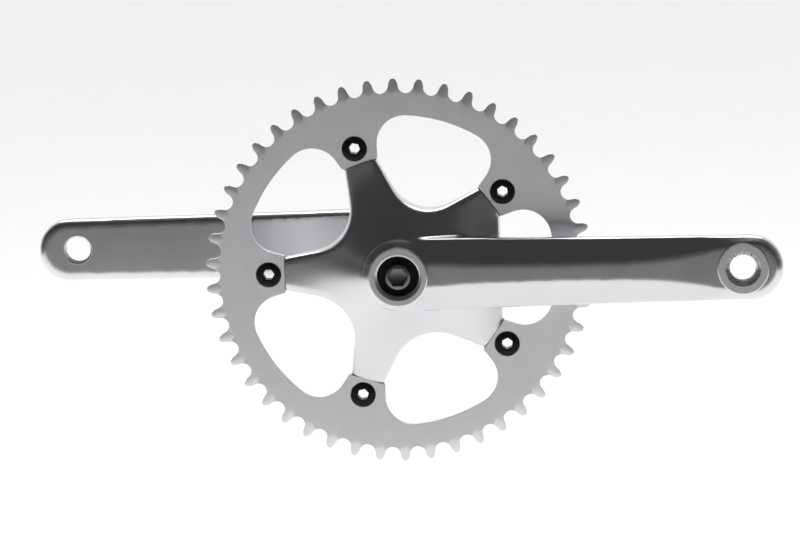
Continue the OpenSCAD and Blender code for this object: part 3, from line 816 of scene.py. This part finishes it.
bolt = lathe("black_chainring_bolts", [
    (0, SPIDER_BACK), (SHANK_R - 0.2, SPIDER_BACK), (SHANK_R, SPIDER_BACK + 0.2), (SHANK_R, HEAD_SEAT),
    (HEAD_R, HEAD_SEAT), (HEAD_R, HEAD_FACE - 0.5), (HEAD_R - 0.2, HEAD_FACE - 0.15),
    (HEAD_R - 0.6, HEAD_FACE), (0, HEAD_FACE),
], steps=64, centre=(BOLT_CIRCLE_R, 0))
socket_r = HEX_WIDTH / (2 * math.cos(math.pi / 6))
socket = [
    (0, SPIDER_BACK - 1), (socket_r, SPIDER_BACK - 1), (socket_r, HEAD_FACE - 0.5),
    (socket_r + 1.0, HEAD_FACE + 0.5), (0, HEAD_FACE + 0.5),
]
carve(bolt, lathe("socket", socket, steps=6, centre=(BOLT_CIRCLE_R, 0)))
around(bolt)
finish(bolt, [black_oxide])
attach(bolt, "crank")
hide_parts("chainring_bolts")

nut = lathe("black_chainring_nuts", [
    (NUT_BORE_R, NUT_BACK), (NUT_FLANGE_R - 0.5, NUT_BACK), (NUT_FLANGE_R, NUT_BACK + 0.4),
    (NUT_FLANGE_R, SPIDER_BACK), (NUT_SLEEVE_R, SPIDER_BACK), (NUT_SLEEVE_R, NUT_END - 0.2),
    (NUT_SLEEVE_R - 0.18, NUT_END), (NUT_BORE_R, NUT_END),
], steps=64, centre=(BOLT_CIRCLE_R, 0))
bm = bmesh.new()
bmesh.ops.create_cube(bm, size=1.0)
bmesh.ops.scale(bm, verts=bm.verts, vec=(14.0, 2.0, 2.2))
bmesh.ops.translate(bm, verts=bm.verts, vec=(BOLT_CIRCLE_R, 0.2 - NUT_BACK, 0))
carve(nut, shape(bm, "slot"))
around(nut)
finish(nut, [black_oxide])
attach(nut, "crank")
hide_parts("chainring_nuts")

# ---------------------------------------------------------------------------------------------
# Crank washers and bolts: a thick black washer on the bottom of each extractor bore, and an M8
# socket bolt that draws the arm up the square taper.
# ---------------------------------------------------------------------------------------------
WASHER_R = 10.3
WASHER_BORE_R = 4.25
WASHER_FACE = WASHER_SEAT + 2.0
CRANK_BOLT_END = 36.5
CRANK_BOLT_FACE = 67.0
CRANK_BOLT_ROOT_R = 3.6
CRANK_BOLT_CREST_R = 3.93
CRANK_BOLT_PITCH = 1.0
CRANK_BOLT_HEAD_R = 6.3
CRANK_HEX_WIDTH = 8.0

# Phosphated steel washer: matt black, with a 0.6 mm crystal grain
phosphate, tree, shader, place = new_material("black_phosphated_washer_steel", "#151516", 0.5, 0.55)
grain = node(tree, "ShaderNodeTexNoise", {"Vector": place, "Scale": 1600.0, "Detail": 2.0})
blend_colours(tree, grain.outputs["Fac"], "#0D0D0E", "#1F1F21", shader)
blend_roughness(tree, grain.outputs["Fac"], 0.48, 0.66, shader)
bump(tree, grain.outputs["Fac"], 0.15, 0.00004, shader)

# Black chromium plate on the bolt steel: dark grey and glossier, with 2 mm patches
black_chrome, tree, shader, place = new_material("black_chromed_bolt_steel", "#7C7C80", 1.0, 0.36)
patches = node(tree, "ShaderNodeTexNoise", {"Vector": place, "Scale": 500.0, "Detail": 3.0})
blend_colours(tree, patches.outputs["Fac"], "#727276", "#86868A", shader)
blend_roughness(tree, patches.outputs["Fac"], 0.32, 0.42, shader)
bump(tree, patches.outputs["Fac"], 0.08, 0.00003, shader)

for side in ("right", "left"):
    washer = lathe(f"thick_{side}_crank_washer", [
        (WASHER_BORE_R, WASHER_SEAT), (WASHER_R, WASHER_SEAT), (WASHER_R, WASHER_FACE - 0.3),
        (WASHER_R - 0.3, WASHER_FACE), (WASHER_BORE_R + 0.25, WASHER_FACE),
        (WASHER_BORE_R, WASHER_FACE - 0.25),
    ])
    bolt = lathe(f"black_{side}_crank_bolt", [
        (0, CRANK_BOLT_END), (CRANK_BOLT_ROOT_R - 0.6, CRANK_BOLT_END),
        (CRANK_BOLT_ROOT_R, CRANK_BOLT_END + 0.6), (CRANK_BOLT_ROOT_R, WASHER_FACE - 0.1),
        (CRANK_BOLT_HEAD_R, WASHER_FACE),
        (CRANK_BOLT_HEAD_R, CRANK_BOLT_FACE - 0.8), (CRANK_BOLT_HEAD_R - 0.2, CRANK_BOLT_FACE - 0.3),
        (CRANK_BOLT_HEAD_R - 0.7, CRANK_BOLT_FACE), (0, CRANK_BOLT_FACE),
    ], steps=64)
    carve(bolt, thread(
        "bolt_thread", CRANK_BOLT_ROOT_R - 0.1, CRANK_BOLT_CREST_R, CRANK_BOLT_PITCH, CRANK_BOLT_END + 1.1,
        CRANK_BOLT_END + 19.5, steps=32,
    ), "UNION")
    socket_r = CRANK_HEX_WIDTH / (2 * math.cos(math.pi / 6))
    carve(bolt, lathe("socket", [
        (0, CRANK_BOLT_FACE - 6.0), (socket_r, CRANK_BOLT_FACE - 4.8), (socket_r, CRANK_BOLT_FACE - 0.4),
        (socket_r + 0.8, CRANK_BOLT_FACE + 0.4), (0, CRANK_BOLT_FACE + 0.4),
    ], steps=6))
    if side == "left":
        other_side(washer)
        other_side(bolt)
    finish(washer, [phosphate])
    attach(washer, "crank")
    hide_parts(f"{side}_crank_washer")
    finish(bolt, [black_chrome])
    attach(bolt, "crank")
    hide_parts(f"{side}_crank_bolt")

# ---------------------------------------------------------------------------------------------
# Floor, light and camera: a plain pale floor at the height below the spindle that a bicycle's
# wheels give it, soft light from above, and a long lens a little above the axle.
# ---------------------------------------------------------------------------------------------
FLOOR_Z = -0.275

floor_paint, tree, shader, place = new_material("matt_white_painted_floor", "#F2F2F2", 0.0, 0.85)
speckle = node(tree, "ShaderNodeTexNoise", {"Vector": place, "Scale": 30.0, "Detail": 4.0})
blend_colours(tree, speckle.outputs["Fac"], "#F0F0F0", "#F4F4F4", shader)
bm = bmesh.new()
bmesh.ops.create_grid(bm, x_segments=1, y_segments=1, size=12.0)
bmesh.ops.translate(bm, verts=bm.verts, vec=(0, 0, FLOOR_Z))
floor = shape(bm, "studio_floor")
floor.data.materials.append(floor_paint)

world = bpy.data.worlds.new("studio")
bpy.context.scene.world = world
world.use_nodes = True
tree = world.node_tree
tree.nodes.clear()
direction = node(tree, "ShaderNodeTexCoord").outputs["Generated"]
axes = node(tree, "ShaderNodeSeparateXYZ", {"Vector": direction})
# In front of the object the studio is unlit above head height, and behind it there is a lit wall
by_height = node(tree, "ShaderNodeValToRGB", {"Fac": axes.outputs["Z"]})
stops = by_height.color_ramp
stops.elements[0].position, stops.elements[0].color = 0.0, (0.3, 0.3, 0.3, 1)
stops.elements[1].position, stops.elements[1].color = 1.0, (0.1, 0.1, 0.1, 1)
for position, level in ((0.1, 0.24), (0.26, 0.05), (0.92, 0.04)):
    stop = stops.elements.new(position)
    stop.color = (level, level, level, 1)
behind = node(
    tree, "ShaderNodeMapRange",
    {"Value": axes.outputs["Y"], "From Min": 0.0, "From Max": 0.6, "To Min": 0.0, "To Max": 1.0},
    interpolation_type="SMOOTHSTEP",
)
wall = linear("#F0F0F0")
layers = {"Fac": behind.outputs[0], "Color1": by_height.outputs["Color"], "Color2": wall}
total = node(tree, "ShaderNodeMixRGB", layers)
seen = node(tree, "ShaderNodeLightPath")
studio = node(tree, "ShaderNodeBackground", {"Color": total.outputs["Color"], "Strength": 1.0})
backdrop = node(tree, "ShaderNodeBackground", {"Color": linear("#F4F4F4"), "Strength": 1.0})
shaders = {0: seen.outputs["Is Camera Ray"], 1: studio.outputs[0], 2: backdrop.outputs[0]}
either = node(tree, "ShaderNodeMixShader", shaders)
node(tree, "ShaderNodeOutputWorld", {"Surface": either.outputs[0]})


def softbox(name, place, aim, width, depth, power, mirrored):
    """A rectangular soft light that points at a spot, and that metal may or may not mirror."""
    lamp = bpy.data.lights.new(name, "AREA")
    lamp.shape = "RECTANGLE"
    lamp.size, lamp.size_y = width, depth
    lamp.energy = power
    made = bpy.data.objects.new(name, lamp)
    made.location = place
    made.rotation_euler = (Vector(aim) - Vector(place)).to_track_quat("-Z", "Y").to_euler()
    made.visible_glossy = mirrored
    bpy.context.scene.collection.objects.link(made)


softbox("floor_light", (0.0, 0.0, 8.0), (0.0, 0.0, 0.0), 24.0, 24.0, 1800.0, False)
softbox("overhead_softbox", (0.0, 0.7, 1.5), (0.0, 0.0, 0.0), 1.6, 0.9, 14.0, True)

# Unlit cards before the object and at its sides, low down, that only its metal faces mirror
card_paint, tree, shader, place = new_material("dark_grey_card", "#3C3C3E", 0.0, 0.9)
speckle = node(tree, "ShaderNodeTexNoise", {"Vector": place, "Scale": 30.0, "Detail": 4.0})
blend_colours(tree, speckle.outputs["Fac"], "#3A3A3C", "#3E3E40", shader)
cards = {
    "dark_front_card": (4.0, (0.0, -1.05, -0.03), 0.0),
    "dark_right_card": (1.25, (1.3, -0.42, -0.03), math.pi / 2),
    "dark_left_card": (1.25, (-1.3, -0.42, -0.03), math.pi / 2),
}
for name, (width, place, turn) in cards.items():
    bm = bmesh.new()
    bmesh.ops.create_grid(bm, x_segments=1, y_segments=1, size=0.5)
    bmesh.ops.scale(bm, verts=bm.verts, vec=(width, 0.46, 1.0))
    bmesh.ops.rotate(bm, verts=bm.verts, cent=(0, 0, 0), matrix=Matrix.Rotation(math.pi / 2, 3, "X"))
    bmesh.ops.rotate(bm, verts=bm.verts, cent=(0, 0, 0), matrix=Matrix.Rotation(turn, 3, "Z"))
    bmesh.ops.translate(bm, verts=bm.verts, vec=place)
    card = shape(bm, name)
    card.data.materials.append(card_paint)
    card.visible_camera = False
    card.visible_diffuse = False
    card.visible_shadow = False

camera_data = bpy.data.cameras.new("camera")
camera_data.sensor_width = 36.0
camera_data.lens = 234.0
camera = bpy.data.objects.new("camera", camera_data)
azimuth, elevation, roll, distance = math.radians(2.0), math.radians(8.4), math.radians(-2.0), 2.6
aim = Vector((0.0, -0.03, 0.0))
offset = Vector((
    math.sin(azimuth) * math.cos(elevation), -math.cos(azimuth) * math.cos(elevation), math.sin(elevation)
)) * distance
camera.location = aim + offset
level_view = (-offset).to_track_quat("-Z", "Y").to_matrix()
camera.rotation_euler = (level_view @ Matrix.Rotation(roll, 3, "Z")).to_euler()
bpy.context.scene.collection.objects.link(camera)
bpy.context.scene.camera = camera
bpy.context.scene.view_settings.view_transform = "Standard"
